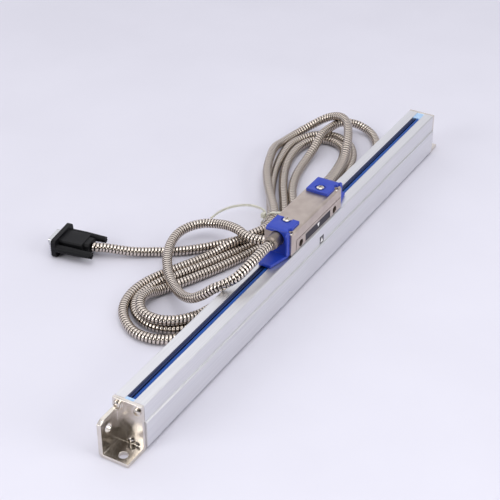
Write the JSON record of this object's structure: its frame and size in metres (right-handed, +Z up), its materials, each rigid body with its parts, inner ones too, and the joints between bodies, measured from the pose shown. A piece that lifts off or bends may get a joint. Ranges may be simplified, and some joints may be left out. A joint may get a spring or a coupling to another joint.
{
  "type": "linear glass scale",
  "caption": "Slotted aluminium scale housing with a glass strip inside, a reading head sliding along it and an armoured cable ending in a nine-way plug.",
  "frame": {"origin": "middle of the footprint of the scale without its free cable, on the surface that its end brackets stand on", "axes": "X along the housing, away from the cable end; +Y towards its back; +Z up through the slot and the reading head"},
  "size_m": [0.486, 0.2011, 0.0608],
  "materials": {
    "anodised_aluminium": "satin natural anodised",
    "seal_rubber": "satin blue elastomer",
    "plug_plastic": "pale blue moulded plastic",
    "scale_glass": "clear ground glass with fine lines",
    "bed_rubber": "matte black elastomer",
    "cast_nickel": "nickel-plated die casting, half gloss",
    "screw_steel": "bright nickel-plated steel",
    "head_nickel": "satin nickel-plated die casting",
    "cover_steel": "brushed stainless steel",
    "label_film": "matte dark printed film",
    "carriage_plastic": "matte dark moulded plastic",
    "board_green": "green circuit board",
    "window_glass": "dark scanning glass",
    "lamp_plastic": "white lamp housing",
    "roller_steel": "ground bearing steel",
    "blue_plastic": "satin blue moulded plastic",
    "armour_steel": "stainless spiral armour",
    "cable_bundle": null,
    "natural_nylon": "natural translucent nylon",
    "black_plastic": "fine-grained black plastic",
    "tin_plate": "tin-plated pressed steel",
    "gold_plate": "gold-plated contacts"
  },
  "bodies": {
    "scale": {"housing": "anodised_aluminium", "seal_lip_front": "seal_rubber", "seal_lip_back": "seal_rubber", "slot_plug_near": "plug_plastic", "slot_plug_far": "plug_plastic", "glass_strip": "scale_glass", "glass_bed": "bed_rubber", "end_bracket_near": "cast_nickel", "end_bracket_far": "cast_nickel", "end_screws_near": "screw_steel", "end_screws_far": "screw_steel"},
    "head": {"head_body": "head_nickel", "head_base": "head_nickel", "head_bottom": "cover_steel", "head_label": "label_film", "head_corner_screws": "screw_steel", "blade": "cover_steel", "carriage": "carriage_plastic", "sensor_board": "board_green", "sensor_window": "window_glass", "lamp": "lamp_plastic", "edge_roller_pins": "screw_steel", "face_roller_pins": "screw_steel", "ship_bracket_near": "blue_plastic", "ship_bracket_far": "blue_plastic", "ship_screw_near": "screw_steel", "ship_screw_far": "screw_steel", "gland": "head_nickel", "cable_loop": "armour_steel", "cable_hank": "cable_bundle", "cable_tail": "armour_steel", "cable_tie": "natural_nylon", "hood_lower": "black_plastic", "hood_upper": "black_plastic", "plug_flange": "tin_plate", "plug_insert": "black_plastic", "plug_contacts": "gold_plate"},
    "edge_roller_near": {"edge_roller_near": "roller_steel"},
    "edge_roller_far": {"edge_roller_far": "roller_steel"},
    "face_roller_near": {"face_roller_near": "roller_steel"},
    "face_roller_far": {"face_roller_far": "roller_steel"},
    "jackscrew_left": {"jackscrew_left": "black_plastic"},
    "jackscrew_right": {"jackscrew_right": "black_plastic"}
  },
  "joints": [
    {"name": "head_slide", "type": "slide", "parent": "scale", "child": "head", "axis": [1, 0, 0], "range_m": [-0.155, 0.145]},
    {"name": "edge_roller_near_spin", "type": "hinge", "parent": "head", "child": "edge_roller_near", "pos_m": [-0.0136, 0.0039, 0.0238], "axis": [0, 1, 0], "continuous": true},
    {"name": "face_roller_near_spin", "type": "hinge", "parent": "head", "child": "face_roller_near", "pos_m": [-0.0136, 0.0004, 0.0152], "axis": [0, 0, 1], "continuous": true},
    {"name": "edge_roller_far_spin", "type": "hinge", "parent": "head", "child": "edge_roller_far", "pos_m": [0.0364, 0.0039, 0.0238], "axis": [0, 1, 0], "continuous": true},
    {"name": "face_roller_far_spin", "type": "hinge", "parent": "head", "child": "face_roller_far", "pos_m": [0.0364, 0.0004, 0.0152], "axis": [0, 0, 1], "continuous": true},
    {"name": "jackscrew_left_turn", "type": "hinge", "parent": "head", "child": "jackscrew_left", "pos_m": [-0.06791, 0.16092, 0.0078], "axis": [-0.1564, 0.9877, 0], "continuous": true},
    {"name": "jackscrew_right_turn", "type": "hinge", "parent": "head", "child": "jackscrew_right", "pos_m": [-0.04322, 0.16483, 0.0078], "axis": [-0.1564, 0.9877, 0], "continuous": true}
  ],
  "couplings": [
    {"joint": "edge_roller_near_spin", "follows": "head_slide", "rad_per_m": 384.6},
    {"joint": "edge_roller_far_spin", "follows": "head_slide", "rad_per_m": 384.6},
    {"joint": "face_roller_near_spin", "follows": "head_slide", "rad_per_m": 384.6},
    {"joint": "face_roller_far_spin", "follows": "head_slide", "rad_per_m": 384.6}
  ]
}
